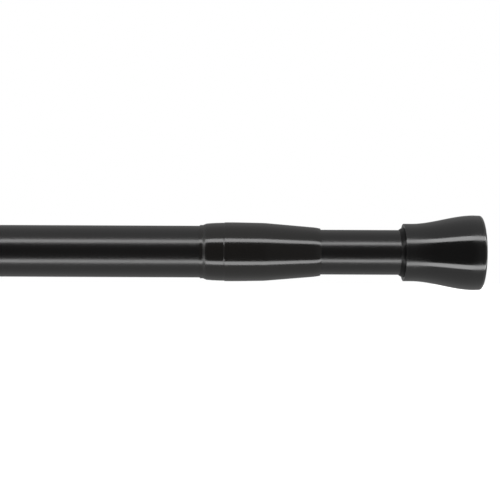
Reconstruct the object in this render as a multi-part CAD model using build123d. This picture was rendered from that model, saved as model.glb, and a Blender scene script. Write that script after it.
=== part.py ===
"""Telescoping tension rod for a shower curtain, with a twist lock and a spring inside.

Millimetres. X runs along the rod from the fixed end to the sliding end, Z is up.
The origin is the centre of the face that the fixed end presses on its wall.
"""

import os

from build123d import *

# Tubes
OUTER_TUBE_DIAMETER = 25.4
OUTER_TUBE_WALL = 0.6
OUTER_TUBE_LENGTH = 990.4
INNER_TUBE_WALL = 0.6
TUBE_GAP = 1.1

# Spring travel, and what stays of the bare inner tube when the spring is fully pressed
SPRING_TRAVEL = 36.0
BARE_TUBE_MARGIN = 2.6

# Collar on the outer tube's mouth, thicknesses over the outer tube and the throat
COLLAR_OVERLAP = 29.0
COLLAR_NOSE_LENGTH = 29.8
COLLAR_LIP_LENGTH = 1.6
COLLAR_LIP_THICKNESS = 0.4
COLLAR_LIP_RISE = 0.03
COLLAR_LEAD_LENGTH = 3.2
COLLAR_LEAD_THICKNESS = 1.1
COLLAR_LEAD_SLOPE = 0.12
COLLAR_LAND_LENGTH = 11.8
COLLAR_LAND_THICKNESS = 1.55
COLLAR_LAND_SLOPE = 0.02
COLLAR_STEP_LENGTH = 0.45
COLLAR_STEP_HEIGHT = 0.19
COLLAR_CREST_THICKNESS = 1.76
COLLAR_CREST_PLACE = 4.15
COLLAR_BULGE_LENGTH = 17.3
COLLAR_BULGE_THICKNESS = 1.55
COLLAR_BULGE_SLOPE = -0.018
COLLAR_SHOULDER_LENGTH = 3.2
COLLAR_TAPER_THICKNESS = 1.4
COLLAR_THROAT_CLEARANCE = 0.4
COLLAR_NOSE_WALL = 0.8
COLLAR_TIP_WALL = 0.2
COLLAR_TIP_LENGTH = 3.7

# Rubber boot on each tube end
BOOT_WALL = 1.2
BOOT_FLOOR = 4.0
BOOT_LIP_LENGTH = 2.0
BOOT_LIP_EDGE_THICKNESS = 0.25
BOOT_LIP_LEAD_LENGTH = 1.0
BOOT_LIP_LEAD_THICKNESS = 0.85
PAD_EDGE_THICKNESS = 1.5
PAD_EDGE_FLAT = 0.5
PAD_MIDDLE_RADIUS = 10.4
PAD_GROOVE_PITCH = 3.0
PAD_GROOVE_WIDTH = 1.0
PAD_GROOVE_DEPTH = 0.6
PAD_GROOVES = 2

# Bell-shaped cover over each boot
COVER_LENGTH = 36.5
COVER_WALL = 1.8
COVER_NECK_LENGTH = 3.9
COVER_FLARE = 4.22
COVER_RIM_LENGTH = 2.2
COVER_RIM_TAPER = 0.08
COVER_EDGE_ROUND = 0.35

# Twist lock
LOCK_RING_LENGTH = 12.0
LOCK_RING_CLEARANCE = 0.3
LOCK_RING_WALL = 5.6
LOCK_RING_SLIT = 2.4
ECCENTRICITY = 1.5
JOURNAL_CLEARANCE = 0.05
RING_END_PLAY = 0.2
FLANGE_THICKNESS = 4.0
FLANGE_CLEARANCE = 0.5
STEM_SIDE = 8.4
STEM_EDGE_ROUND = 0.8
STEM_SPARE_LENGTH = 2.0
TENON_SIDE = 6.4
LOCK_END_GAP = 0.5

# Plugs in the inner tube
BUSH_LENGTH = 18.0
BUSH_FLANGE_THICKNESS = 2.0
STEM_CLEARANCE = 0.15
STOP_LENGTH = 14.0
HEAD_THICKNESS = 4.0
HEAD_CLEARANCE = 0.4
SEAT_GAP = 0.1
SEAT_BOSS_LENGTH = 5.0
SEAT_BOSS_CLEARANCE = 0.4

# Spring as fitted
SPRING_LENGTH = 90.0
SPRING_WIRE_DIAMETER = 1.6
SPRING_TURNS = 9
SPRING_CLEARANCE = 0.9

# Screws, washers and rivets
SCREW_DIAMETER = 3.5
SCREW_LENGTH = 12.0
SCREW_HEAD_DIAMETER = 6.8
SCREW_HEAD_HEIGHT = 2.2
SCREW_SLOT_WIDTH = 0.9
SCREW_SLOT_DEPTH = 1.1
SCREW_TIP_SPACE = 0.5
WASHER_THICKNESS = 1.0
WASHER_OVERHANG = 2.2
RIVET_DIAMETER = 2.6
RIVET_HEAD_DIAMETER = 4.4
RIVET_HEAD_HEIGHT = 0.4
RIVET_DEPTH = 4.5

# Gap between pieces that are pushed together
FIT = 0.05

# Radii that follow from the tubes
outer_radius = OUTER_TUBE_DIAMETER / 2
outer_bore = outer_radius - OUTER_TUBE_WALL
inner_radius = outer_bore - TUBE_GAP
inner_bore = inner_radius - INNER_TUBE_WALL
throat = inner_radius + COLLAR_THROAT_CLEARANCE

# Places along the rod, from the fixed wall to the sliding wall
outer_start = BOOT_FLOOR
outer_end = outer_start + OUTER_TUBE_LENGTH
collar_start = outer_end - COLLAR_OVERLAP
collar_end = outer_end + COLLAR_NOSE_LENGTH
sliding_lip = collar_end + SPRING_TRAVEL + BARE_TUBE_MARGIN
cap_length = PAD_EDGE_THICKNESS + COVER_LENGTH + BOOT_LIP_LENGTH
sliding_wall = sliding_lip + cap_length
inner_end = sliding_wall - BOOT_FLOOR

# Places of the lock and the spring
screw_end = outer_start + LOCK_END_GAP
washer_start = screw_end + SCREW_HEAD_HEIGHT
journal_start = washer_start + WASHER_THICKNESS
ring_start = journal_start + RING_END_PLAY
flange_start = ring_start + LOCK_RING_LENGTH + RING_END_PLAY
stem_start = flange_start + FLANGE_THICKNESS
bush_start = stem_start + SPRING_TRAVEL + STEM_SPARE_LENGTH
inner_start = bush_start + BUSH_FLANGE_THICKNESS
bush_end = inner_start + BUSH_LENGTH
head_start = bush_end + SEAT_GAP
head_face = head_start + HEAD_THICKNESS
spring_start = head_face + SEAT_GAP
spring_end = spring_start + SPRING_LENGTH
stop_start = spring_end + SEAT_GAP
boss_end = head_face + SEAT_BOSS_LENGTH

# Radii of the lock and the spring
ring_radius = outer_bore - LOCK_RING_CLEARANCE
journal_radius = ring_radius - LOCK_RING_WALL
spring_radius = inner_bore - SPRING_CLEARANCE - SPRING_WIRE_DIAMETER / 2
seat_boss_radius = spring_radius - SPRING_WIRE_DIAMETER / 2 - SEAT_BOSS_CLEARANCE
screw_radius = SCREW_DIAMETER / 2


def turned(*curves):
    """Solid of revolution about the rod's axis, from the curves of a closed outline."""
    edges = [edge for curve in curves for edge in curve.edges()]
    return revolve(make_face(edges), axis=Axis.X)


def ring(start, end, radius, bore=0.0):
    """Plain round piece from start to end along the rod."""
    outline = Polyline((start, bore), (end, bore), (end, radius), (start, radius), close=True)
    return turned(outline)


def square_bar(start, end, side, edge_round):
    """Bar of square section along the rod, with rounded long edges."""
    section = Plane.YZ.offset(start) * RectangleRounded(side, side, edge_round)
    return extrude(section, amount=end - start)


def rivet_pair(place, radius):
    """Two low-headed rivets that pass radially into a plug, on the front and the back."""
    shank = Pos(0, 0, radius - RIVET_DEPTH / 2) * Cylinder(RIVET_DIAMETER / 2, RIVET_DEPTH)
    head = Pos(0, 0, radius + RIVET_HEAD_HEIGHT / 2) * Cylinder(RIVET_HEAD_DIAMETER / 2, RIVET_HEAD_HEIGHT)
    rim = head.edges().group_by(Axis.Z)[-1]
    head = chamfer(rim, RIVET_HEAD_HEIGHT / 2)
    rivet = shank + head
    front = Pos(place, 0, 0) * Rot(90, 0, 0) * rivet
    back = Pos(place, 0, 0) * Rot(-90, 0, 0) * rivet
    return front, back


def rivet_holes(place, radius):
    """Cutters for the holes of a rivet pair, through the tube wall and into the plug."""
    depth = RIVET_DEPTH + FIT
    cutter = Pos(0, 0, radius - depth / 2) * Cylinder(RIVET_DIAMETER / 2 + FIT, depth)
    over = Pos(0, 0, radius + RIVET_HEAD_HEIGHT / 2) * Cylinder(RIVET_DIAMETER / 2 + FIT, RIVET_HEAD_HEIGHT)
    cutter = cutter + over
    front = Pos(place, 0, 0) * Rot(90, 0, 0) * cutter
    back = Pos(place, 0, 0) * Rot(-90, 0, 0) * cutter
    return front + back


def pan_screw(face, turn, offset):
    """Cross-slotted pan-head screw seated on a face; at no turn its tip points to the sliding end."""
    head_round = SCREW_HEAD_HEIGHT / 2
    head_top = -SCREW_HEAD_HEIGHT
    head_radius = SCREW_HEAD_DIAMETER / 2
    outline = Polyline(
        (head_top, 0.0),
        (SCREW_LENGTH, 0.0),
        (SCREW_LENGTH, screw_radius),
        (0.0, screw_radius),
        (0.0, head_radius),
        (head_top + head_round, head_radius),
    )
    crown = RadiusArc((head_top + head_round, head_radius), (head_top, head_radius - head_round), -head_round)
    top = Line((head_top, head_radius - head_round), (head_top, 0.0))
    screw = turned(outline, crown, top)
    slot_place = Pos(head_top + SCREW_SLOT_DEPTH / 2, 0, 0)
    slot = slot_place * Box(SCREW_SLOT_DEPTH, head_radius, SCREW_SLOT_WIDTH)
    cross = slot_place * Box(SCREW_SLOT_DEPTH, SCREW_SLOT_WIDTH, head_radius)
    return Pos(face, 0, offset) * Rot(0, 0, turn) * (screw - slot - cross)


def sleeve_radius(tube_radius):
    """Outside of the rubber sleeve on a tube end."""
    return tube_radius + FIT + BOOT_WALL


def neck_radius(tube_radius):
    """Outside of the cover's neck, over the sleeve."""
    return sleeve_radius(tube_radius) + FIT + COVER_WALL


def rim_radius(tube_radius):
    """Outside of the cover at its widest, near the wall."""
    return neck_radius(tube_radius) + COVER_FLARE


def end_boot(tube_radius):
    """Rubber cup with its wall pad, on a tube that ends at BOOT_FLOOR; the wall is at zero."""
    sleeve = sleeve_radius(tube_radius)
    edge = rim_radius(tube_radius) - COVER_RIM_TAPER
    spigot = edge - COVER_WALL - FIT
    bore = tube_radius + FIT
    cover_rear = PAD_EDGE_THICKNESS + COVER_LENGTH
    lip_end = cap_length
    corner = PAD_EDGE_THICKNESS - PAD_EDGE_FLAT
    corner_arc = RadiusArc((corner, edge), (0.0, edge - corner), -corner)
    outline = Polyline(
        (0.0, edge - corner),
        (0.0, 0.0),
        (BOOT_FLOOR, 0.0),
        (BOOT_FLOOR, bore),
        (lip_end, bore),
        (lip_end, bore + BOOT_LIP_EDGE_THICKNESS),
        (lip_end - BOOT_LIP_LEAD_LENGTH, bore + BOOT_LIP_LEAD_THICKNESS),
        (cover_rear, sleeve),
        (BOOT_FLOOR, sleeve),
        (BOOT_FLOOR, spigot),
        (PAD_EDGE_THICKNESS, spigot),
        (PAD_EDGE_THICKNESS, edge),
        (corner, edge),
    )
    boot = turned(outline, corner_arc)
    for number in range(PAD_GROOVES):
        groove = PAD_MIDDLE_RADIUS + number * PAD_GROOVE_PITCH
        boot -= ring(0.0, PAD_GROOVE_DEPTH, groove + PAD_GROOVE_WIDTH, groove)
    return boot


def end_cover(tube_radius):
    """Bell-shaped cover over a boot: a neck, an ogee flare and a rim; the wall is at zero."""
    neck = neck_radius(tube_radius)
    rim = rim_radius(tube_radius)
    rim_face = PAD_EDGE_THICKNESS
    flare_low = rim_face + COVER_RIM_LENGTH
    flare_high = rim_face + COVER_LENGTH - COVER_NECK_LENGTH
    rear = rim_face + COVER_LENGTH
    rear_outer = (rear - COVER_EDGE_ROUND, neck)
    rear_face = (rear, neck - COVER_EDGE_ROUND)
    bore = neck - COVER_WALL
    along = (1, 0)
    outline = [
        Line((rim_face, rim - COVER_WALL - COVER_RIM_TAPER), (rim_face, rim - COVER_RIM_TAPER)),
        Line((rim_face, rim - COVER_RIM_TAPER), (flare_low, rim)),
        Spline((flare_low, rim), (flare_high, neck), tangents=(along, along)),
        Line((flare_high, neck), rear_outer),
        RadiusArc(rear_outer, rear_face, COVER_EDGE_ROUND),
        Line(rear_face, (rear, bore)),
        Line((rear, bore), (flare_high, bore)),
        Spline((flare_high, bore), (flare_low, rim - COVER_WALL), tangents=((-1, 0), (-1, 0))),
        Line((flare_low, rim - COVER_WALL), (rim_face, rim - COVER_WALL - COVER_RIM_TAPER)),
    ]
    return turned(*outline)


def transition_collar():
    """Moulded sleeve: lip, land, a step up to the bulge, a shoulder and a taper to a rounded nose."""
    lip = (collar_start, outer_radius + COLLAR_LIP_THICKNESS)
    lip_end = (collar_start + COLLAR_LIP_LENGTH, lip[1] + COLLAR_LIP_RISE)
    lead = (collar_start + COLLAR_LEAD_LENGTH, outer_radius + COLLAR_LEAD_THICKNESS)
    land_end = (collar_start + COLLAR_LAND_LENGTH, outer_radius + COLLAR_LAND_THICKNESS)
    bulge_start = (land_end[0] + COLLAR_STEP_LENGTH, land_end[1] + COLLAR_STEP_HEIGHT)
    crest = (bulge_start[0] + COLLAR_CREST_PLACE, outer_radius + COLLAR_CREST_THICKNESS)
    shoulder = (bulge_start[0] + COLLAR_BULGE_LENGTH, outer_radius + COLLAR_BULGE_THICKNESS)
    taper_start = (shoulder[0] + COLLAR_SHOULDER_LENGTH, outer_radius + COLLAR_TAPER_THICKNESS)
    nose = (collar_end - COLLAR_TIP_LENGTH, throat + COLLAR_NOSE_WALL)
    tip = (collar_end, throat + COLLAR_TIP_WALL)
    land_way = (1, COLLAR_LAND_SLOPE)
    bulge_way = (1, COLLAR_BULGE_SLOPE)
    taper_way = (nose[0] - taper_start[0], nose[1] - taper_start[1])
    bore = outer_radius + FIT
    stop_face = outer_end + FIT
    outline = [
        Polyline((collar_start, bore), lip, lip_end, lead),
        Spline(lead, land_end, tangents=((1, COLLAR_LEAD_SLOPE), land_way)),
        Spline(land_end, bulge_start, tangents=(land_way, land_way)),
        Spline(bulge_start, crest, shoulder, tangents=(land_way, bulge_way)),
        Spline(shoulder, taper_start, tangents=(bulge_way, taper_way)),
        Line(taper_start, nose),
        TangentArc(nose, tip, tangent=taper_way),
        Polyline(tip, (collar_end, throat), (stop_face, throat), (stop_face, bore), (collar_start, bore)),
    ]
    return turned(*outline)


def lock_ring():
    """Split eccentric ring: round outside on the tube's axis, bored on the journal's axis."""
    end = ring_start + LOCK_RING_LENGTH
    body = ring(ring_start, end, ring_radius)
    bore = Pos(0, 0, ECCENTRICITY) * ring(ring_start, end, journal_radius + JOURNAL_CLEARANCE)
    middle = (ring_start + end) / 2
    slit_height = 2 * (ring_radius - ECCENTRICITY)
    slit = Pos(middle, 0, ring_radius) * Box(LOCK_RING_LENGTH, LOCK_RING_SLIT, slit_height)
    return body - bore - slit


def lock_stem():
    """Eccentric journal, guide flange and square stem in one piece, with a hole in each end."""
    flange_radius = outer_bore - FLANGE_CLEARANCE
    journal = Pos(0, 0, ECCENTRICITY) * ring(journal_start, flange_start, journal_radius)
    flange = ring(flange_start, stem_start, flange_radius)
    bar = square_bar(stem_start, head_start, STEM_SIDE, STEM_EDGE_ROUND)
    tenon = square_bar(head_start, boss_end - FIT, TENON_SIDE, STEM_EDGE_ROUND)
    stem = journal + flange + bar + tenon
    hole_depth = SCREW_LENGTH - WASHER_THICKNESS + SCREW_TIP_SPACE
    ring_hole = ring(journal_start, journal_start + hole_depth, screw_radius + FIT)
    head_hole = ring(boss_end - hole_depth, boss_end, screw_radius + FIT)
    return stem - Pos(0, 0, ECCENTRICITY) * ring_hole - head_hole


def stem_head():
    """Spring seat: a disc with a boss that centres the spring, on the stem's square tenon."""
    disc = ring(head_start, head_face, inner_bore - HEAD_CLEARANCE)
    boss = ring(head_face, boss_end, seat_boss_radius)
    hole = square_bar(head_start, boss_end, TENON_SIDE + 2 * FIT, STEM_EDGE_ROUND)
    return disc + boss - hole


def guide_bush(holes):
    """Bush in the inner tube's hidden end, with a flange on the tube's edge and a square hole."""
    body = ring(inner_start, bush_end, inner_bore - FIT)
    flange = ring(bush_start, inner_start, inner_radius)
    hole = square_bar(bush_start, bush_end, STEM_SIDE + 2 * STEM_CLEARANCE, STEM_EDGE_ROUND)
    return body + flange - hole - holes


def spring_stop(holes):
    """Plug that the spring pushes on, with a boss inside the spring."""
    body = ring(stop_start, stop_start + STOP_LENGTH, inner_bore - FIT)
    boss = ring(stop_start - SEAT_BOSS_LENGTH, stop_start, seat_boss_radius)
    return body + boss - holes


def tension_spring():
    """Helical compression spring with its two ends ground flat."""
    pitch = SPRING_LENGTH / SPRING_TURNS
    path = Helix(
        pitch,
        SPRING_LENGTH + 2 * SPRING_WIRE_DIAMETER,
        spring_radius,
        center=(spring_start - SPRING_WIRE_DIAMETER, 0, 0),
        direction=(1, 0, 0),
    )
    section = Plane(origin=path @ 0, z_dir=path % 0) * Circle(SPRING_WIRE_DIAMETER / 2)
    coil = sweep(section, path=path, is_frenet=True)
    return coil & ring(spring_start, spring_end, inner_bore)


def save(name, *solids):
    """Write one node, of one solid or a group of like solids."""
    shape = solids[0] if len(solids) == 1 else Compound(children=list(solids))
    export_step(shape, os.path.join("parts", name + ".step"))


os.makedirs("parts", exist_ok=True)
to_sliding_end = Pos(sliding_wall, 0, 0) * Rot(0, 0, 180)
bush_rivet_place = inner_start + BUSH_LENGTH / 2
stop_rivet_place = stop_start + STOP_LENGTH / 2
bush_holes = rivet_holes(bush_rivet_place, inner_radius)
stop_holes = rivet_holes(stop_rivet_place, inner_radius)
washer_bore = screw_radius + FIT

# Outer tube and what is fixed to it
save("outer_tube", ring(outer_start, outer_end, outer_radius, outer_bore))
save("transition_collar", transition_collar())
save("fixed_end_boot", end_boot(outer_radius))
save("fixed_end_cover", end_cover(outer_radius))

# Inner tube and what is fixed to it
save("inner_tube", ring(inner_start, inner_end, inner_radius, inner_bore) - bush_holes - stop_holes)
save("sliding_end_boot", to_sliding_end * end_boot(inner_radius))
save("sliding_end_cover", to_sliding_end * end_cover(inner_radius))
save("guide_bush", guide_bush(bush_holes))
save("guide_bush_rivets", *rivet_pair(bush_rivet_place, inner_radius))
save("spring_stop", spring_stop(stop_holes))
save("spring_stop_rivets", *rivet_pair(stop_rivet_place, inner_radius))

# Lock, stem and spring
save("lock_ring", lock_ring())
save("lock_stem", lock_stem())
ring_washer = ring(washer_start, journal_start, journal_radius + WASHER_OVERHANG, washer_bore)
save("ring_washer", Pos(0, 0, ECCENTRICITY) * ring_washer)
save("ring_screw", pan_screw(washer_start, 0, ECCENTRICITY))
save("stem_head", stem_head())
save("stem_washer", ring(boss_end, boss_end + WASHER_THICKNESS, seat_boss_radius - FIT, washer_bore))
save("stem_screw", pan_screw(boss_end + WASHER_THICKNESS, 180, 0))
save("tension_spring", tension_spring())
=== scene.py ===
"""Looks of a telescoping tension rod for a shower curtain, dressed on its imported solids.

Metres. X runs along the rod from the fixed end to the sliding end, and Z is up.
"""

import logging
import math
from contextlib import contextmanager
from dataclasses import dataclass, field, replace
from enum import Enum
from functools import cache
from typing import Callable, ClassVar, Iterable, Iterator

import bpy
from mathutils import Matrix, Vector


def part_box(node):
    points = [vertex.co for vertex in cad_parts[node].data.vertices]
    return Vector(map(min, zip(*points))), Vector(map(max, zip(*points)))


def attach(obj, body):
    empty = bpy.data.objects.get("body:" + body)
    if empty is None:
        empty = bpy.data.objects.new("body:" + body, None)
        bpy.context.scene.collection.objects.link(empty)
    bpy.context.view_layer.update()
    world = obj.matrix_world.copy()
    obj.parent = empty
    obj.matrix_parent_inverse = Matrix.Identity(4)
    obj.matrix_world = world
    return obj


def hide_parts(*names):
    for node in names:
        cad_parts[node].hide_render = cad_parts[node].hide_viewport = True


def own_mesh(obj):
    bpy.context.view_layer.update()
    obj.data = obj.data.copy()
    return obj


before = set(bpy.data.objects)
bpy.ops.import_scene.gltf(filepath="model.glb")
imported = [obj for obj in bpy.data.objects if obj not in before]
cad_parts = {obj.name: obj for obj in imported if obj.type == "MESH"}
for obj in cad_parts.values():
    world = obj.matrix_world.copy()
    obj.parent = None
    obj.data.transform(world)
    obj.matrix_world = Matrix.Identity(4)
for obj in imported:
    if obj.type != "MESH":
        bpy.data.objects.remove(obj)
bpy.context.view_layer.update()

MM = 0.001
ROD_AXIS = (1.0, 0.0, 0.0)
WHITE = (1.0, 1.0, 1.0, 1.0)
NOISE_MEAN = 0.5

Point = tuple[float, float]
Stops = tuple[tuple[float, float], ...]
Triple = tuple[float, float, float]
Colour = tuple[float, float, float, float]
log = logging.getLogger("tension_rod")


class Slot(Enum):
    """Material slots of the record."""

    TUBE = "tube_enamel"
    COLLAR = "collar_plastic"
    COVER = "cover_plastic"
    BOOT = "boot_rubber"
    LOCK = "lock_nylon"
    PLATED = "plated_steel"
    SPRING = "spring_steel"


class Body(Enum):
    """Bodies that move as one."""

    OUTER = "outer"
    STEM = "stem"
    INNER = "inner"


class CapEnd(Enum):
    """The two ends of the rod; the value starts the names of the end's nodes."""

    FIXED = "fixed"
    SLIDING = "sliding"


# Shader graphs


class Signal:
    """One output in a node tree, which Python arithmetic turns into Math nodes."""

    def __init__(self, graph: "Graph", socket: bpy.types.NodeSocket) -> None:
        """Wrap an output socket of a graph's tree."""
        self.graph = graph
        self.socket = socket

    def _math(self, operation: str, left: "Signal | float", right: "Signal | float") -> "Signal":
        """Value of one Math node on two operands; the operation has Blender's name."""
        return self.graph.add("ShaderNodeMath", {"operation": operation}, {0: left, 1: right})

    def __add__(self, other: "Signal | float") -> "Signal":
        """Sum of two values."""
        return self._math("ADD", self, other)

    __radd__ = __add__

    def __sub__(self, other: "Signal | float") -> "Signal":
        """Difference of two values."""
        return self._math("SUBTRACT", self, other)

    def __rsub__(self, other: float) -> "Signal":
        """A number less this value."""
        return self._math("SUBTRACT", other, self)

    def __mul__(self, other: "Signal | float") -> "Signal":
        """Product of two values."""
        return self._math("MULTIPLY", self, other)

    __rmul__ = __mul__

    def above(self, level: float) -> "Signal":
        """One where the value is over the level, and zero elsewhere."""
        return self._math("GREATER_THAN", self, level)

    def most(self, other: "Signal | float") -> "Signal":
        """The larger of two values."""
        return self._math("MAXIMUM", self, other)

    def also(self, output: str) -> "Signal":
        """Another output of the same node."""
        return Signal(self.graph, self.socket.node.outputs[output])


class Graph:
    """A node tree that is filled by calls."""

    def __init__(self, owner: bpy.types.Material | bpy.types.World) -> None:
        """Start a tree that has only its output node.

        Args:
            owner: The new material or world.
        """
        owner.use_nodes = True
        self.tree = owner.node_tree
        for node in list(self.tree.nodes):
            if node.outputs:
                self.tree.nodes.remove(node)

    @staticmethod
    def _pick(sockets: Iterable[bpy.types.NodeSocket], key: str | int) -> bpy.types.NodeSocket:
        """Find a socket that is in use.

        Args:
            sockets: A node's inputs or outputs.
            key: The socket's name or its place in the list.

        Returns:
            The socket.
        """
        if isinstance(key, int):
            return list(sockets)[key]
        return next(socket for socket in sockets if socket.enabled and socket.name == key)

    def add(
        self,
        kind: str,
        settings: dict[str, object] | None = None,
        inputs: dict[str | int, object] | None = None,
        output: str | int = 0,
    ) -> Signal:
        """Add a node.

        Args:
            kind: Blender's type name of the node.
            settings: Attributes of the node, with a ramp's stops under the name stops.
            inputs: Values, or signals to link, by socket.
            output: The output that is wanted.

        Returns:
            That output.
        """
        node = self.tree.nodes.new(kind)
        for name, value in (settings or {}).items():
            if name == "stops":
                self._set_stops(node.color_ramp, value)
            else:
                setattr(node, name, value)
        for name, value in (inputs or {}).items():
            socket = self._pick(node.inputs, name)
            if isinstance(value, Signal):
                self.tree.links.new(value.socket, socket)
            else:
                socket.default_value = value
        return Signal(self, self._pick(node.outputs, output))

    @staticmethod
    def _set_stops(ramp: bpy.types.ColorRamp, stops: Stops) -> None:
        """Give a ramp its grey stops.

        Args:
            ramp: The ramp, which has two stops to begin with.
            stops: Position and grey level of each stop, in order.
        """
        while len(ramp.elements) < len(stops):
            ramp.elements.new(1.0)
        for element, (position, grey) in zip(ramp.elements, stops):
            element.position = position
            element.color = (grey, grey, grey, 1.0)

    def place(self, stretch: Triple = (1.0, 1.0, 1.0), origin: Triple = (0.0, 0.0, 0.0)) -> Signal:
        """Position on the piece, in metres.

        Args:
            stretch: Factor along each axis; a small one draws a pattern out.
            origin: The place that counts as zero.

        Returns:
            The position as a vector.
        """
        where = self.add("ShaderNodeTexCoord", output="Object")
        shift = tuple(-along * factor for along, factor in zip(origin, stretch))
        inputs = {"Vector": where, "Location": shift, "Scale": stretch}
        return self.add("ShaderNodeMapping", inputs=inputs)

    def length(self, where: Signal) -> Signal:
        """Length of a vector."""
        return self.add("ShaderNodeVectorMath", {"operation": "LENGTH"}, {0: where}, "Value")

    def noise(self, where: Signal, size: float, detail: float = 2.0) -> Signal:
        """Cloudy pattern about one half, with clouds of a size in metres and layers of finer detail."""
        inputs = {"Vector": where, "Scale": 1.0 / size, "Detail": detail}
        return self.add("ShaderNodeTexNoise", inputs=inputs)

    def specks(self, where: Signal, spacing: float, share: float) -> Signal:
        """One on small round specks, whose radius is a share of their spacing, and zero elsewhere."""
        inputs = {"Vector": where, "Scale": 1.0 / spacing}
        return 1.0 - self.add("ShaderNodeTexVoronoi", inputs=inputs).above(share)

    def blend(self, factor: Signal, low: Colour | Signal, high: Colour | Signal) -> Signal:
        """Mix of two colours: the low one at a factor of zero, and the high one at one."""
        inputs = {"Factor": factor, "A": low, "B": high}
        return self.add("ShaderNodeMix", {"data_type": "RGBA"}, inputs, "Result")

    def bump(self, height: Signal, depth: float, under: Signal | None = None) -> Signal:
        """Normal bent by a relief whose depth is in metres, on top of another bent normal if given."""
        inputs = {"Height": height, "Distance": depth} | ({"Normal": under} if under else {})
        return self.add("ShaderNodeBump", inputs=inputs, output="Normal")

    def ramp(self, factor: Signal, stops: Stops) -> Signal:
        """Grey level that a ramp has at a factor from zero to one."""
        return self.add("ShaderNodeValToRGB", {"stops": stops}, {"Fac": factor}, "Color")

    def seen(self) -> Signal:
        """One for a ray from the camera, straight or through a clear piece."""
        camera_ray = self.add("ShaderNodeLightPath", output="Is Camera Ray")
        return camera_ray.most(camera_ray.also("Is Transmission Ray"))

    def show(self, surface: Signal) -> None:
        """Send a shader to the output node, which is the tree's first."""
        self.tree.links.new(surface.socket, self.tree.nodes[0].inputs["Surface"])


# Finishes


@dataclass(frozen=True, kw_only=True)
class Finish:
    """What every finish shares: a name, an uneven roughness and one layered surface."""

    name: str
    roughness: float
    roughness_spread: float

    def material(self) -> bpy.types.Material:
        """Make the material.

        Returns:
            A new material with this finish.
        """
        material = bpy.data.materials.new(self.name)
        graph = Graph(material)
        graph.show(graph.add("ShaderNodeBsdfPrincipled", inputs=self.surface(graph)))
        return material

    def uneven(self, pattern: Signal, *others: Signal) -> Signal:
        """Roughness that varies over the surface with one or more noise patterns."""
        swing = sum((other - NOISE_MEAN for other in others), pattern - NOISE_MEAN)
        return self.roughness + self.roughness_spread * swing

    def surface(self, graph: Graph) -> dict[str, object]:
        """What goes into each socket of the surface shader; each finish has its own."""
        raise NotImplementedError


@dataclass(frozen=True, kw_only=True)
class GlossBlack(Finish):
    """Gloss black film or moulding: faint clouds, fine lengthwise marks, dust and a slight peel."""

    black: Colour
    cloud_black: Colour
    reflectance: float
    peel_size: float
    peel_depth: float
    mark_depth: float
    cloud_size: float = 45 * MM
    dust_spacing: float = 2.6 * MM
    dust_share: float = 0.022
    dust_grey: Colour = (0.05, 0.05, 0.048, 1.0)
    dust_roughness: float = 0.25
    mark_size: float = 0.35 * MM
    mark_stretch: float = 0.02
    fine_detail: float = 1.0
    dull_from: float = 0.0
    dull_stops: Stops = ()

    def surface(self, graph: Graph) -> dict[str, object]:
        """Values and signals for the surface shader.

        Args:
            graph: The material's tree.

        Returns:
            What goes into each socket of the shader.
        """
        where = graph.place()
        along = graph.place((self.mark_stretch, 1.0, 1.0))
        clouds = graph.noise(where, self.cloud_size)
        marks = graph.noise(along, self.mark_size, self.fine_detail)
        dust = graph.specks(where, self.dust_spacing, self.dust_share)
        peel = graph.noise(where, self.peel_size, self.fine_detail)
        colour = graph.blend(dust, graph.blend(clouds, self.black, self.cloud_black), self.dust_grey)
        roughness = self.uneven(clouds, marks)
        if self.dull_stops:
            roughness = roughness + self.dullness(graph)
        return {
            "Base Color": colour,
            "Roughness": roughness + dust * self.dust_roughness,
            "Specular IOR Level": self.reflectance,
            "Normal": graph.bump(peel, self.peel_depth, graph.bump(marks, self.mark_depth)),
        }

    def dullness(self, graph: Graph) -> Signal:
        """Roughness that is added along the piece.

        Args:
            graph: The material's tree.

        Returns:
            The added roughness.
        """
        reach = self.dull_stops[-1][0]
        stops = tuple((away / reach, gain) for away, gain in self.dull_stops)
        away = graph.length(graph.place(ROD_AXIS, (self.dull_from, 0.0, 0.0)))
        return graph.ramp(away * (1.0 / reach), stops)


@dataclass(frozen=True, kw_only=True)
class MatteRubber(Finish):
    """Black moulded rubber: a fine grain, a faint bloom, a dry pad face and a polished pad edge."""

    wall: float
    pad_edge: float
    black: Colour = (0.0042, 0.0040, 0.0040, 1.0)
    bloom: Colour = (0.0072, 0.0070, 0.0068, 1.0)
    bloom_size: float = 9 * MM
    bloom_detail: float = 4.0
    grain_size: float = 0.32 * MM
    grain_detail: float = 3.0
    grain_depth: float = 0.02 * MM
    roughness: float = 0.29
    roughness_spread: float = 0.12
    reflectance: float = 0.13
    face_black: Colour = (0.0150, 0.0146, 0.0142, 1.0)
    face_depth: float = 0.3 * MM
    face_roughness: float = 0.2
    polish_width: float = 1.74 * MM
    polish_black: Colour = (0.0115, 0.0110, 0.0108, 1.0)
    polish_roughness: float = 0.08

    def surface(self, graph: Graph) -> dict[str, object]:
        """Values and signals for the surface shader.

        Args:
            graph: The material's tree.

        Returns:
            What goes into each socket of the shader.
        """
        where = graph.place()
        bloom = graph.noise(where, self.bloom_size, self.bloom_detail)
        grain = graph.noise(where, self.grain_size, self.grain_detail)
        radius = graph.length(graph.place((0.0, 1.0, 1.0)))
        depth = graph.length(graph.place(ROD_AXIS, (self.wall, 0.0, 0.0)))
        polish = radius.above(self.pad_edge - self.polish_width)
        face = 1.0 - depth.above(self.face_depth)
        colour = graph.blend(bloom * grain, self.black, self.bloom)
        colour = graph.blend(face * (bloom + NOISE_MEAN), colour, self.face_black)
        return {
            "Base Color": graph.blend(polish, colour, self.polish_black),
            "Roughness": self.face_roughness * face + self.uneven(grain),
            "Specular IOR Level": self.reflectance,
            "Coat Weight": polish,
            "Coat Roughness": self.polish_roughness,
            "Normal": graph.bump(grain * (1.0 - polish), self.grain_depth),
        }


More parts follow.
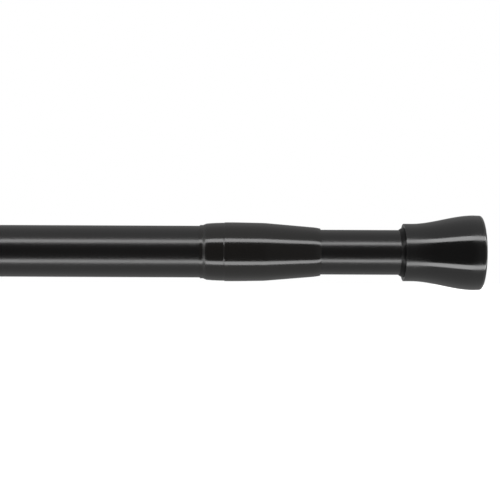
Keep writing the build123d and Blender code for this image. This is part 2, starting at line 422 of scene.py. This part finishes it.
@dataclass(frozen=True, kw_only=True)
class Nylon(Finish):
    """Natural nylon moulding: milky, slightly mottled, with a satin skin."""

    milky: Colour = (0.66, 0.64, 0.58, 1.0)
    mottle: Colour = (0.57, 0.55, 0.49, 1.0)
    mottle_size: float = 4 * MM
    mottle_detail: float = 3.0
    skin_size: float = 0.25 * MM
    skin_depth: float = 0.008 * MM
    roughness: float = 0.42
    roughness_spread: float = 0.2

    def surface(self, graph: Graph) -> dict[str, object]:
        """Values and signals for the surface shader.

        Args:
            graph: The material's tree.

        Returns:
            What goes into each socket of the shader.
        """
        where = graph.place()
        mottle = graph.noise(where, self.mottle_size, self.mottle_detail)
        skin = graph.noise(where, self.skin_size)
        return {
            "Base Color": graph.blend(mottle, self.milky, self.mottle),
            "Roughness": self.uneven(skin),
            "Normal": graph.bump(skin, self.skin_depth),
        }


@dataclass(frozen=True, kw_only=True)
class BareSteel(Finish):
    """Plated or drawn steel: a metal with streaks, uneven tone and a little tarnish."""

    bright: Colour
    dull: Colour
    roughness_spread: float = 0.2
    streak_size: float = 0.12 * MM
    streak_stretch: float = 0.2
    streak_depth: float = 0.003 * MM
    tarnish_size: float = 3 * MM
    tarnish_detail: float = 4.0

    def surface(self, graph: Graph) -> dict[str, object]:
        """Values and signals for the surface shader.

        Args:
            graph: The material's tree.

        Returns:
            What goes into each socket of the shader.
        """
        streaks = graph.noise(graph.place((self.streak_stretch, 1.0, 1.0)), self.streak_size)
        tarnish = graph.noise(graph.place(), self.tarnish_size, self.tarnish_detail)
        return {
            "Base Color": graph.blend(tarnish, self.bright, self.dull),
            "Metallic": 1.0,
            "Roughness": self.uneven(streaks, tarnish),
            "Normal": graph.bump(streaks, self.streak_depth),
        }


FINISHES: dict[Slot, Finish] = {
    Slot.TUBE: GlossBlack(
        name=Slot.TUBE.value,
        black=(0.0052, 0.0048, 0.0048, 1.0),
        cloud_black=(0.0060, 0.0056, 0.0056, 1.0),
        reflectance=0.46,
        roughness=0.24,
        roughness_spread=0.05,
        peel_size=1.4 * MM,
        peel_depth=0.0016 * MM,
        mark_depth=0.0003 * MM,
    ),
    Slot.COLLAR: GlossBlack(
        name=Slot.COLLAR.value,
        black=(0.0088, 0.0081, 0.0076, 1.0),
        cloud_black=(0.0102, 0.0094, 0.0088, 1.0),
        reflectance=0.42,
        roughness=0.13,
        roughness_spread=0.05,
        peel_size=2.2 * MM,
        peel_depth=0.0014 * MM,
        mark_depth=0.0002 * MM,
    ),
    Slot.COVER: GlossBlack(
        name=Slot.COVER.value,
        black=(0.0052, 0.0051, 0.0051, 1.0),
        cloud_black=(0.0062, 0.0060, 0.0060, 1.0),
        reflectance=0.49,
        roughness=0.11,
        roughness_spread=0.04,
        peel_size=3.0 * MM,
        peel_depth=0.0012 * MM,
        mark_depth=0.0002 * MM,
    ),
    Slot.LOCK: Nylon(name=Slot.LOCK.value),
    Slot.PLATED: BareSteel(
        name=Slot.PLATED.value,
        bright=(0.68, 0.67, 0.62, 1.0),
        dull=(0.50, 0.50, 0.49, 1.0),
        roughness=0.32,
    ),
    Slot.SPRING: BareSteel(
        name=Slot.SPRING.value,
        bright=(0.40, 0.39, 0.37, 1.0),
        dull=(0.22, 0.21, 0.20, 1.0),
        roughness=0.38,
    ),
}


@cache
def material_of(finish: Finish) -> bpy.types.Material:
    """The material of a finish, made once."""
    return finish.material()


# Modelling


class Outline:
    """Half outline of a turned piece: places along the rod and radii, in metres."""

    CURVE_STEP: ClassVar[float] = 0.8 * MM
    ARC_STEPS: ClassVar[int] = 6

    def __init__(self, along: float, radius: float) -> None:
        """Begin an outline at a place along the rod and a radius."""
        self.points: list[Point] = [(along, radius)]

    def line(self, along: float, radius: float) -> "Outline":
        """Go straight to a place along the rod and a radius, and give this outline back."""
        self.points.append((along, radius))
        return self

    def curve(self, along: float, radius: float, leave: float = 0.0, arrive: float = 0.0) -> "Outline":
        """Go to a point on a cubic.

        Args:
            along: Place along the rod.
            radius: Radius there.
            leave: Rise of the radius per metre where the curve starts.
            arrive: Rise of the radius per metre where it ends.

        Returns:
            This outline.
        """
        first, low = self.points[-1]
        run = along - first
        steps = max(self.ARC_STEPS, round(abs(run) / self.CURVE_STEP))
        for number in range(1, steps + 1):
            share = number / steps
            ease = share * share * (3.0 - 2.0 * share)
            start_pull = share * (1.0 - share) ** 2 * run * leave
            end_pull = share * share * (share - 1.0) * run * arrive
            self.line(first + share * run, low + ease * (radius - low) + start_pull + end_pull)
        return self

    def corner(self, along: float, radius: float, centre: Point) -> "Outline":
        """Go to a point on a circular arc.

        Args:
            along: Place along the rod.
            radius: Radius there.
            centre: The arc's centre.

        Returns:
            This outline.
        """
        start = Vector(self.points[-1]) - Vector(centre)
        turn = start.angle_signed(Vector((along, radius)) - Vector(centre))
        for number in range(1, self.ARC_STEPS + 1):
            arm = Matrix.Rotation(-turn * number / self.ARC_STEPS, 2) @ start
            self.line(centre[0] + arm.x, centre[1] + arm.y)
        return self

    def facing(self, wall: float, inward: int) -> list[Point]:
        """Points of an outline drawn from a wall; inward is 1 where the rod leaves it along X, else -1."""
        return [(wall + inward * along, radius) for along, radius in self.points]


class Bench:
    """Edit-mode work on one piece at a time."""

    FACETS: ClassVar[int] = 128
    DRILL_FACETS: ClassVar[int] = 32
    MERGE: ClassVar[float] = 1e-6
    SHARP: ClassVar[float] = math.radians(40)
    ROUND_STEPS: ClassVar[int] = 2

    @staticmethod
    def put_down() -> None:
        """Leave edit mode and select nothing."""
        if bpy.context.object and bpy.context.object.mode != "OBJECT":
            bpy.ops.object.mode_set(mode="OBJECT")
        bpy.ops.object.select_all(action="DESELECT")

    @classmethod
    def add(cls, name: str, primitive: Callable[..., set[str]], **settings: object) -> bpy.types.Object:
        """Start a piece from a primitive, with nothing else selected.

        Args:
            name: Name of the piece.
            primitive: Blender's operator that adds the primitive.
            settings: Size and place of the primitive.

        Returns:
            The piece, which is active.
        """
        cls.put_down()
        primitive(**settings)
        piece = bpy.context.active_object
        piece.name = name
        piece.data.name = name
        return piece

    @classmethod
    def take(cls, piece: bpy.types.Object) -> None:
        """Make one piece the active one, and the only one that is selected.

        Args:
            piece: The piece.
        """
        cls.put_down()
        piece.select_set(True)
        bpy.context.view_layer.objects.active = piece

    @staticmethod
    @contextmanager
    def editing() -> Iterator[None]:
        """Edit the active piece, with all of it selected to begin with."""
        bpy.ops.object.mode_set(mode="EDIT")
        bpy.ops.mesh.select_all(action="SELECT")
        yield
        bpy.ops.object.mode_set(mode="OBJECT")

    @staticmethod
    def apply(piece: bpy.types.Object, kind: str, **settings: object) -> None:
        """Add a modifier and apply it.

        Args:
            piece: The piece, which is active.
            kind: Blender's type name of the modifier.
            settings: Attributes of the modifier.
        """
        bpy.ops.object.modifier_add(type=kind)
        modifier = piece.modifiers[-1]
        for name, value in settings.items():
            setattr(modifier, name, value)
        bpy.ops.object.modifier_apply(modifier=modifier.name)

    @classmethod
    def clean(cls) -> None:
        """Merge the doubled points of the active piece and turn its faces outwards."""
        with cls.editing():
            bpy.ops.mesh.remove_doubles(threshold=cls.MERGE)
            bpy.ops.mesh.normals_make_consistent(inside=False)

    @classmethod
    def trace(cls, name: str, points: list[Point]) -> bpy.types.Object:
        """Draw an outline as a line of edges above the rod's axis.

        Args:
            name: Name of the piece.
            points: The outline.

        Returns:
            The piece.
        """
        piece = cls.add(name, bpy.ops.mesh.primitive_plane_add)
        with cls.editing():
            bpy.ops.mesh.select_mode(type="VERT")
            bpy.ops.mesh.merge(type="CENTER")
            bpy.ops.transform.translate(value=(points[0][0], 0.0, points[0][1]))
            for (along, radius), (next_along, next_radius) in zip(points, points[1:]):
                step = (next_along - along, 0.0, next_radius - radius)
                bpy.ops.mesh.extrude_vertices_move(TRANSFORM_OT_translate={"value": step})
        return piece

    @classmethod
    def turn(cls, name: str, points: list[Point], edge_round: float) -> bpy.types.Object:
        """Turn an outline about the rod's axis.

        Args:
            name: Name of the piece.
            points: Outline, which starts and ends on the axis or at the same point.
            edge_round: Width of the rounding on sharp edges.

        Returns:
            The piece.
        """
        piece = cls.trace(name, points)
        with cls.editing():
            bpy.ops.mesh.spin(steps=cls.FACETS, angle=math.tau, center=(0.0, 0.0, 0.0), axis=ROD_AXIS)
        cls.clean()
        cls.apply(
            piece,
            "BEVEL",
            width=edge_round,
            segments=cls.ROUND_STEPS,
            limit_method="ANGLE",
            angle_limit=cls.SHARP,
        )
        return piece

    @classmethod
    def smooth(cls, piece: bpy.types.Object) -> None:
        """Shade a piece smoothly, with flat faces that stay flat beside their rounded edges.

        Args:
            piece: The piece.
        """
        cls.take(piece)
        bpy.ops.object.shade_smooth_by_angle(angle=cls.SHARP)
        cls.apply(piece, "WEIGHTED_NORMAL", keep_sharp=True)

    @classmethod
    def drill(cls, piece: bpy.types.Object, place: float, radius: float, reach: float) -> None:
        """Drill a hole right through a piece, from front to back.

        Args:
            piece: The piece.
            place: Place of the hole along the rod.
            radius: Radius of the hole.
            reach: How far the drill goes to each side of the axis.
        """
        bit = cls.add(
            "drill",
            bpy.ops.mesh.primitive_cylinder_add,
            vertices=cls.DRILL_FACETS,
            radius=radius,
            depth=2 * reach,
            location=(place, 0.0, 0.0),
            rotation=(math.pi / 2, math.pi / cls.DRILL_FACETS, 0.0),
        )
        cls.carve(piece, bit, "DIFFERENCE")

    @classmethod
    def carve(cls, piece: bpy.types.Object, tool: bpy.types.Object, operation: str) -> None:
        """Cut a tool's shape out of a piece, or join it to the piece, and put the tool away.

        Args:
            piece: The piece.
            tool: The shape to cut or to join.
            operation: Blender's name of the operation.
        """
        cls.take(piece)
        cls.apply(piece, "BOOLEAN", operation=operation, object=tool)
        bpy.data.objects.remove(tool)
        cls.clean()

    @classmethod
    def wind(cls, piece: bpy.types.Object, pitch: float, turns: int, facets: int) -> None:
        """Wind the active section about the rod's axis, along the rod.

        Args:
            piece: The section.
            pitch: Advance in one turn.
            turns: How many turns.
            facets: Steps in one turn.
        """
        cls.apply(
            piece,
            "SCREW",
            axis="X",
            angle=math.tau * turns,
            screw_offset=pitch * turns,
            steps=facets * turns,
            render_steps=facets * turns,
        )
        cls.clean()

    @classmethod
    def grind(cls, low: float, high: float) -> None:
        """Cut the ends of the active piece flat across the rod.

        Args:
            low: Place of the lower end along the rod.
            high: Place of the upper end.
        """
        for place in (low, high):
            with cls.editing():
                bpy.ops.mesh.bisect(
                    plane_co=(place, 0.0, 0.0),
                    plane_no=ROD_AXIS,
                    use_fill=True,
                    clear_inner=place == low,
                    clear_outer=place == high,
                    threshold=cls.MERGE,
                )
            cls.clean()


@dataclass
class Part:
    """What every sub-assembly shares: pieces with their slots, finishes, and how pieces join the rod."""

    pieces: list[tuple[bpy.types.Object, Slot]] = field(default_factory=list, init=False)
    finishes: dict[Slot, Finish] = field(default_factory=FINISHES.copy, init=False)

    def fit(self, piece: bpy.types.Object, body: Body, slot: Slot, node: str) -> None:
        """Shade a new piece smoothly and let it stand for a solid.

        Args:
            piece: The new piece.
            body: The body that it moves with.
            slot: The material slot that it takes its finish from.
            node: The solid that it stands for.
        """
        Bench.smooth(piece)
        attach(piece, body.value)
        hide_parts(node)
        self.pieces.append((piece, slot))

    def build(self) -> None:
        """Model the pieces."""
        raise NotImplementedError

    def dress(self) -> None:
        """Give each piece the finish of its slot."""
        for piece, slot in self.pieces:
            piece.data.materials.clear()
            piece.data.materials.append(material_of(self.finishes[slot]))


@dataclass
class OuterTube(Part):
    """The large steel tube, enamelled."""

    wall: float = 0.6 * MM
    edge_round: float = 0.15 * MM

    def build(self) -> None:
        """Turn the tube."""
        low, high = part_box("outer_tube")
        radius = high.z
        bore = radius - self.wall
        outline = Outline(low.x, bore).line(low.x, radius).line(high.x, radius)
        outline.line(high.x, bore).line(low.x, bore)
        piece = Bench.turn("outer_tube_enamelled", outline.points, self.edge_round)
        self.fit(piece, Body.OUTER, Slot.TUBE, "outer_tube")


@dataclass
class InnerTube(Part):
    """The small steel tube, enamelled, with rivet holes near its hidden end."""

    wall: float = 0.6 * MM
    edge_round: float = 0.15 * MM
    rivet_hole: float = 1.35 * MM
    plain_from: float = 200 * MM

    def build(self) -> None:
        """Turn the tube and drill it."""
        low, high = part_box("inner_tube")
        radius = high.z
        bore = radius - self.wall
        outline = Outline(low.x, bore).line(low.x, radius).line(self.plain_from, radius)
        outline.line(high.x, radius).line(high.x, bore).line(self.plain_from, bore).line(low.x, bore)
        piece = Bench.turn("inner_tube_enamelled", outline.points, self.edge_round)
        for rivets in ("guide_bush_rivets", "spring_stop_rivets"):
            rivet_low, rivet_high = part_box(rivets)
            Bench.drill(piece, (rivet_low.x + rivet_high.x) / 2, self.rivet_hole, 2 * radius)
        self.fit(piece, Body.INNER, Slot.TUBE, "inner_tube")


@dataclass
class TransitionCollar(Part):
    """Moulded sleeve on the outer tube's mouth: lip, land, bulge, shoulder, taper and nose."""

    fit_gap: float = 0.05 * MM
    overlap: float = 29.0 * MM
    lip_length: float = 1.6 * MM
    lip_thickness: float = 0.4 * MM
    lip_rise: float = 0.03 * MM
    lead_length: float = 3.2 * MM
    lead_thickness: float = 1.1 * MM
    lead_slope: float = 0.12
    land_length: float = 11.8 * MM
    land_thickness: float = 1.55 * MM
    land_slope: float = 0.02
    step_length: float = 0.45 * MM
    step_height: float = 0.19 * MM
    crest_place: float = 4.15 * MM
    crest_thickness: float = 1.76 * MM
    crest_slope: float = -0.0059
    bulge_length: float = 17.3 * MM
    bulge_thickness: float = 1.55 * MM
    bulge_slope: float = -0.018
    shoulder_length: float = 3.2 * MM
    taper_thickness: float = 1.4 * MM
    throat_clearance: float = 0.4 * MM
    nose_wall: float = 0.8 * MM
    tip_wall: float = 0.2 * MM
    tip_length: float = 3.7 * MM
    edge_round: float = 0.05 * MM
    dull_lip: Stops = (
        (0.0 * MM, 0.03),
        (1.3 * MM, 0.06),
        (2.1 * MM, 0.19),
        (2.7 * MM, 0.19),
        (3.4 * MM, 0.04),
        (5.0 * MM, 0.0),
    )

    def build(self) -> None:
        """Turn the sleeve, whose lead-in cone is duller than the rest."""
        low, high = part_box("transition_collar")
        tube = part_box("outer_tube")[1].z
        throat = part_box("inner_tube")[1].z + self.throat_clearance
        bore = tube + self.fit_gap
        land_end = low.x + self.land_length
        bulge_start = land_end + self.step_length
        crest = bulge_start + self.crest_place
        shoulder = bulge_start + self.bulge_length
        taper_start = shoulder + self.shoulder_length
        nose = high.x - self.tip_length
        stop_face = low.x + self.overlap + self.fit_gap
        step_top = tube + self.land_thickness + self.step_height
        lip_end = self.lip_thickness + self.lip_rise
        climb = (self.lead_thickness - lip_end) / (self.lead_length - self.lip_length)
        taper = (throat + self.nose_wall - tube - self.taper_thickness) / (nose - taper_start)
        droop = (self.tip_wall - self.nose_wall) / self.tip_length
        tip_slope = math.tan(2 * math.atan(droop) - math.atan(taper))
        outline = Outline(low.x, bore)
        outline.line(low.x, tube + self.lip_thickness)
        outline.line(low.x + self.lip_length, tube + lip_end)
        outline.curve(low.x + self.lead_length, tube + self.lead_thickness, climb, climb)
        outline.curve(land_end, tube + self.land_thickness, self.lead_slope, self.land_slope)
        outline.curve(bulge_start, step_top, self.land_slope, self.land_slope)
        outline.curve(crest, tube + self.crest_thickness, self.land_slope, self.crest_slope)
        outline.curve(shoulder, tube + self.bulge_thickness, self.crest_slope, self.bulge_slope)
        outline.curve(taper_start, tube + self.taper_thickness, self.bulge_slope, taper)
        outline.line(nose, throat + self.nose_wall)
        outline.curve(high.x, throat + self.tip_wall, taper, tip_slope)
        outline.line(high.x, throat).line(stop_face, throat).line(stop_face, bore).line(low.x, bore)
        piece = Bench.turn("transition_collar_moulded", outline.points, self.edge_round)
        self.fit(piece, Body.OUTER, Slot.COLLAR, "transition_collar")
        gloss = self.finishes[Slot.COLLAR]
        self.finishes[Slot.COLLAR] = replace(gloss, dull_from=low.x, dull_stops=self.dull_lip)


@dataclass
class EndCap(Part):
    """Rubber boot with its wall pad, and the bell-shaped cover over it, on one end of the rod."""

    end: CapEnd
    fit_gap: float = 0.05 * MM
    boot_wall: float = 1.2 * MM
    boot_floor: float = 4.0 * MM
    lip_length: float = 2.0 * MM
    lip_edge: float = 0.25 * MM
    lip_lead: float = 1.0 * MM
    lip_lead_thickness: float = 0.85 * MM
    pad_thickness: float = 1.5 * MM
    pad_flat: float = 0.5 * MM
    groove_radius: float = 10.4 * MM
    groove_pitch: float = 3.0 * MM
    groove_width: float = 1.0 * MM
    groove_depth: float = 0.6 * MM
    grooves: int = 2
    cover_wall: float = 1.8 * MM
    neck_length: float = 3.9 * MM
    flare: float = 4.22 * MM
    rim_length: float = 2.2 * MM
    rim_taper: float = 0.08 * MM
    rear_round: float = 0.18 * MM
    edge_round: float = 0.08 * MM
    dull_ends: Stops = (
        (0.0 * MM, 0.11),
        (5.0 * MM, 0.10),
        (10.0 * MM, 0.05),
        (14.0 * MM, 0.0),
        (30.0 * MM, 0.0),
        (33.0 * MM, 0.06),
        (36.5 * MM, 0.06),
    )

    def build(self) -> None:
        """Turn the boot and its cover, and set their finishes for this end."""
        fixed = self.end is CapEnd.FIXED
        boot_node = f"{self.end.value}_end_boot"
        cover_node = f"{self.end.value}_end_cover"
        boot_low, boot_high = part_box(boot_node)
        cover_low, cover_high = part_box(cover_node)
        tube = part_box("outer_tube" if fixed else "inner_tube")[1].z
        wall = boot_low.x if fixed else boot_high.x
        inward = 1 if fixed else -1
        body = Body.OUTER if fixed else Body.INNER
        boot = self.boot_outline(tube, boot_high.x - boot_low.x)
        cover = self.cover_outline(tube, cover_high.x - cover_low.x)
        for outline, slot, node in ((boot, Slot.BOOT, boot_node), (cover, Slot.COVER, cover_node)):
            piece = Bench.turn(f"{node}_moulded", outline.facing(wall, inward), self.edge_round)
            self.fit(piece, body, slot, node)
        self.finishes[Slot.BOOT] = MatteRubber(
            name=f"{boot_node}_rubber",
            wall=wall,
            pad_edge=self.pad_edge(tube),
        )
        self.finishes[Slot.COVER] = replace(
            self.finishes[Slot.COVER],
            name=f"{cover_node}_plastic",
            dull_from=cover_high.x if fixed else cover_low.x,
            dull_stops=self.dull_ends,
        )

    def neck(self, tube: float) -> float:
        """Outside radius of the cover's neck, over a tube of a radius."""
        return tube + self.boot_wall + self.cover_wall + 2 * self.fit_gap

    def pad_edge(self, tube: float) -> float:
        """Outside radius of the wall pad, on a tube of a radius."""
        return self.neck(tube) + self.flare - self.rim_taper

    def boot_outline(self, tube: float, length: float) -> Outline:
        """Outline of the boot, from the middle of its pad round to the floor of its cup.

        Args:
            tube: Radius of the tube in the boot.
            length: Length of the boot.

        Returns:
            The outline, drawn from the wall.
        """
        sleeve = tube + self.fit_gap + self.boot_wall
        bore = tube + self.fit_gap
        edge = self.pad_edge(tube)
        spigot = edge - self.cover_wall - self.fit_gap
        corner = self.pad_thickness - self.pad_flat
        outline = Outline(0.0, 0.0)
        for number in range(self.grooves):
            near = self.groove_radius + number * self.groove_pitch
            far = near + self.groove_width
            outline.line(0.0, near).line(self.groove_depth, near)
            outline.line(self.groove_depth, far).line(0.0, far)
        outline.line(0.0, edge - corner)
        outline.corner(corner, edge, (corner, edge - corner))
        outline.line(self.pad_thickness, edge).line(self.pad_thickness, spigot)
        outline.line(self.boot_floor, spigot).line(self.boot_floor, sleeve)
        outline.line(length - self.lip_length, sleeve)
        outline.line(length - self.lip_lead, bore + self.lip_lead_thickness)
        outline.line(length, bore + self.lip_edge)
        outline.line(length, bore).line(self.boot_floor, bore).line(self.boot_floor, 0.0)
        return outline

    def cover_outline(self, tube: float, length: float) -> Outline:
        """Outline of the cover: rim, flare and neck outside, and the same inside.

        Args:
            tube: Radius of the tube in the cap.
            length: Length of the cover.

        Returns:
            The outline, drawn from the wall.
        """
        neck = self.neck(tube)
        rim = neck + self.flare
        face = self.pad_thickness
        rear = face + length
        flare_low = face + self.rim_length
        flare_high = rear - self.neck_length
        bore = neck - self.cover_wall
        inside = rim - self.cover_wall
        outline = Outline(face, inside - self.rim_taper)
        outline.line(face, rim - self.rim_taper).line(flare_low, rim)
        outline.curve(flare_high, neck).line(rear - self.rear_round, neck)
        outline.corner(rear, neck - self.rear_round, (rear - self.rear_round, neck - self.rear_round))
        outline.line(rear, bore).line(flare_high, bore)
        outline.curve(flare_low, inside).line(face, inside - self.rim_taper)
        return outline


@dataclass
class TensionSpring(Part):
    """Helical spring that pushes the two ends apart, and shortens as it is pressed."""

    wire: float = 1.6 * MM
    turns: int = 9
    spare_turns: int = 1
    travel: float = 36 * MM
    wire_facets: int = 16
    turn_facets: int = 40

    def build(self) -> None:
        """Wind the spring, grind its ends and give it a mesh of its own."""
        low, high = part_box("tension_spring")
        length = high.x - low.x
        pitch = length / self.turns
        radius = high.z - self.wire / 2
        lean = math.atan2(pitch, math.tau * radius)
        piece = Bench.add(
            "tension_spring_wound",
            bpy.ops.mesh.primitive_circle_add,
            vertices=self.wire_facets,
            radius=self.wire / 2,
            location=(low.x - self.spare_turns * pitch / 2, 0.0, radius),
            rotation=(math.pi / 2, 0.0, 0.0),
        )
        piece.scale.x = 1.0 / math.cos(lean)
        bpy.ops.object.transform_apply(location=True, rotation=True, scale=True)
        Bench.wind(piece, pitch, self.turns + self.spare_turns, self.turn_facets)
        Bench.grind(low.x, high.x)
        self.fit(piece, Body.INNER, Slot.SPRING, "tension_spring")
        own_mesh(piece)


@dataclass
class PanScrew(Part):
    """Cross-slotted pan-head screw with a cut thread, inside the shape of its plain solid."""

    node: str
    tip_way: int
    head_height: float = 2.2 * MM
    plain_length: float = 0.8 * MM
    shank: float = 1.75 * MM
    thread_gap: float = 0.02 * MM
    thread_depth: float = 0.4 * MM
    thread_pitch: float = 1.25 * MM
    crest_width: float = 0.15 * MM
    root_width: float = 0.45 * MM
    thread_facets: int = 36
    spare_turns: int = 2
    slot_width: float = 0.9 * MM
    slot_depth: float = 1.1 * MM
    slot_share: float = 0.5
    edge_round: float = 0.05 * MM

    def build(self) -> None:
        """Turn the head, wind the thread on it and cut the cross."""
        low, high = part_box(self.node)
        head_top, tip = (low.x, high.x) if self.tip_way > 0 else (high.x, low.x)
        head_radius = (high.z - low.z) / 2
        head = self.head_outline(head_radius).facing(head_top, self.tip_way)
        piece = Bench.turn(f"{self.node}_threaded", head, self.edge_round)
        plain_middle = head_top + self.tip_way * (self.head_height + self.plain_length / 2)
        Bench.carve(piece, self.thread(*sorted((plain_middle, tip))), "UNION")
        reach = 2 * self.slot_share * head_radius
        for width, height in ((reach, self.slot_width), (self.slot_width, reach)):
            cutter = Bench.add(
                "cross_cutter",
                bpy.ops.mesh.primitive_cube_add,
                size=1.0,
                location=(head_top, 0.0, 0.0),
                scale=(2 * self.slot_depth, width, height),
            )
            Bench.carve(piece, cutter, "DIFFERENCE")
        piece.location.z = (high.z + low.z) / 2
        bpy.ops.object.transform_apply(location=True, rotation=False, scale=False)
        self.fit(piece, Body.STEM, Slot.PLATED, self.node)

    def head_outline(self, radius: float) -> Outline:
        """Outline of the rounded head and the plain neck under it.

        Args:
            radius: Radius of the head.

        Returns:
            The outline, drawn from the top of the head.
        """
        crown = self.head_height / 2
        neck_end = self.head_height + self.plain_length
        outline = Outline(0.0, 0.0).line(0.0, radius - crown)
        outline.corner(crown, radius, (crown, radius - crown))
        outline.line(self.head_height, radius).line(self.head_height, self.shank)
        outline.line(neck_end, self.shank).line(neck_end, 0.0)
        return outline

    def thread(self, start: float, end: float) -> bpy.types.Object:
        """Wind a threaded rod.

        Args:
            start: Its lower end along the rod.
            end: Its upper end.

        Returns:
            The rod, on the axis.
        """
        crest = self.shank - self.thread_gap
        root = crest - self.thread_depth
        flank = (self.thread_pitch - self.crest_width - self.root_width) / 2
        first = start - self.thread_pitch
        outline = Outline(first, root).line(first + self.root_width, root)
        outline.line(first + self.root_width + flank, crest)
        outline.line(first + self.thread_pitch - flank, crest)
        outline.line(first + self.thread_pitch, root)
        rod = Bench.trace("thread", outline.points)
        turns = math.ceil((end - start) / self.thread_pitch) + self.spare_turns
        Bench.wind(rod, self.thread_pitch, turns, self.thread_facets)
        Bench.grind(start, end)
        return rod


@dataclass
class TwistLock(Part):
    """The lock's other solids, which keep their shape and get their finish."""

    mouldings: tuple[str, ...] = ("lock_ring", "lock_stem", "stem_head", "guide_bush", "spring_stop")
    hardware: tuple[str, ...] = ("ring_washer", "stem_washer", "guide_bush_rivets", "spring_stop_rivets")

    def build(self) -> None:
        """Take the solids as they are."""
        for slot, nodes in ((Slot.LOCK, self.mouldings), (Slot.PLATED, self.hardware)):
            self.pieces.extend((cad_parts[node], slot) for node in nodes)

    def dress(self) -> None:
        """Give each solid its finish."""
        for piece, slot in self.pieces:
            for place in piece.material_slots:
                place.material = material_of(self.finishes[slot])


# Studio


@dataclass
class Studio:
    """Camera, lights, surround and floor, for a rod that hangs in a white room.

    Angles are in degrees, scale is metres a pixel at the rod, and sensor is in millimetres.
    surround is the grey of the room that the rod reflects, by the angle from straight in front,
    and side_glow is the least grey there, by how far right a direction points.
    """

    frame_pixels: int = 500
    focal_pixels: float = 1150.0
    scale: float = 0.48987 * MM
    aim_along: float = 989.885 * MM
    camera_rise: float = 0.9 * MM
    camera_roll: float = -0.245
    sensor: float = 36.0
    strip_angle: float = 44.8
    strip_distance: float = 0.55
    strip_width: float = 0.13
    strip_length: float = 3.2
    strip_radiance: float = 7.5
    floor_drop: float = 0.9
    floor_size: float = 60.0
    floor_pale: Colour = (0.82, 0.82, 0.81, 1.0)
    floor_lift: float = 0.6
    surround: Stops = (
        (180.0, 0.28),
        (144.0, 0.36),
        (128.0, 0.54),
        (106.0, 0.61),
        (90.0, 0.64),
        (55.0, 0.67),
        (42.0, 0.06),
        (0.0, 0.04),
    )
    side_glow: Stops = ((0.04, 0.0), (0.2, 0.1), (0.5, 0.22), (0.8, 0.35))

    def build(self) -> None:
        """Set the whole studio up."""
        bpy.context.scene.view_settings.view_transform = "Standard"
        self.camera()
        for side in (1, -1):
            self.strip(side)
        self.world()
        self.floor()

    def camera(self) -> None:
        """Look at the sliding end square on, from the front."""
        data = bpy.data.cameras.new("camera")
        data.sensor_width = self.sensor
        data.lens = self.sensor * self.focal_pixels / self.frame_pixels
        data.clip_end = 4 * self.floor_size
        camera = bpy.data.objects.new("camera", data)
        distance = self.focal_pixels * self.scale
        camera.location = (self.aim_along, -distance, self.camera_rise)
        camera.rotation_euler = (math.pi / 2, math.radians(self.camera_roll), 0.0)
        bpy.context.scene.collection.objects.link(camera)
        bpy.context.scene.camera = camera

    def strip(self, side: int) -> None:
        """Hang one long strip light parallel to the rod.

        Args:
            side: One for the upper strip, minus one for the lower.
        """
        area = self.strip_length * self.strip_width
        data = bpy.data.lights.new("strip_light", "AREA")
        data.shape = "RECTANGLE"
        data.size = self.strip_length
        data.size_y = self.strip_width
        data.energy = self.strip_radiance * math.pi * area
        light = bpy.data.objects.new("strip_light", data)
        angle = math.radians(self.strip_angle)
        away = Vector((0.0, -math.cos(angle), side * math.sin(angle)))
        light.location = Vector((self.aim_along, 0.0, 0.0)) + away * self.strip_distance
        light.rotation_mode = "QUATERNION"
        light.rotation_quaternion = (-away).to_track_quat("-Z", "Y")
        light.visible_camera = False
        light.visible_diffuse = False
        bpy.context.scene.collection.objects.link(light)

    def world(self) -> None:
        """White behind the rod; its reflections show a white room with a front that is dark to the left."""
        world = bpy.data.worlds.new("white_room")
        bpy.context.scene.world = world
        graph = Graph(world)
        where = graph.add("ShaderNodeTexCoord", output="Generated")
        toward_back = graph.add("ShaderNodeSeparateXYZ", inputs={"Vector": where}, output="Y")
        stops = tuple(((1 + math.cos(math.radians(angle))) / 2, grey) for angle, grey in self.surround)
        around = graph.ramp((1.0 - toward_back) * 0.5, stops)
        room = around.most(graph.ramp(toward_back.also("X"), self.side_glow))
        glossy_ray = graph.add("ShaderNodeLightPath", output="Is Glossy Ray")
        colour = graph.blend(graph.seen(), graph.blend(glossy_ray, WHITE, room), WHITE)
        graph.show(graph.add("ShaderNodeBackground", inputs={"Color": colour}))

    def floor(self) -> None:
        """Lay a pale floor far below the rod."""
        floor = Bench.add(
            "floor",
            bpy.ops.mesh.primitive_plane_add,
            size=self.floor_size,
            location=(0.0, 0.0, -self.floor_drop),
        )
        floor.visible_glossy = False
        material = bpy.data.materials.new("floor_pale")
        graph = Graph(material)
        matt = graph.add("ShaderNodeBsdfDiffuse", inputs={"Color": self.floor_pale})
        lift = graph.add("ShaderNodeEmission", inputs={"Strength": graph.seen() * self.floor_lift})
        graph.show(graph.add("ShaderNodeAddShader", inputs={0: matt, 1: lift}))
        floor.data.materials.append(material)


def main() -> None:
    """Build and dress each sub-assembly in order, then the studio."""
    logging.basicConfig(level=logging.INFO, format="%(name)s: %(message)s")
    parts: list[Part] = [
        OuterTube(),
        InnerTube(),
        TransitionCollar(),
        EndCap(end=CapEnd.FIXED),
        EndCap(end=CapEnd.SLIDING),
        TensionSpring(),
        PanScrew(node="ring_screw", tip_way=1),
        PanScrew(node="stem_screw", tip_way=-1),
        TwistLock(),
    ]
    for part in parts:
        part.build()
        part.dress()
        for piece, slot in part.pieces:
            log.info("%s: %s, %d faces", piece.name, slot.value, len(piece.data.polygons))
    Studio().build()


if __name__ == "__main__":
    main()
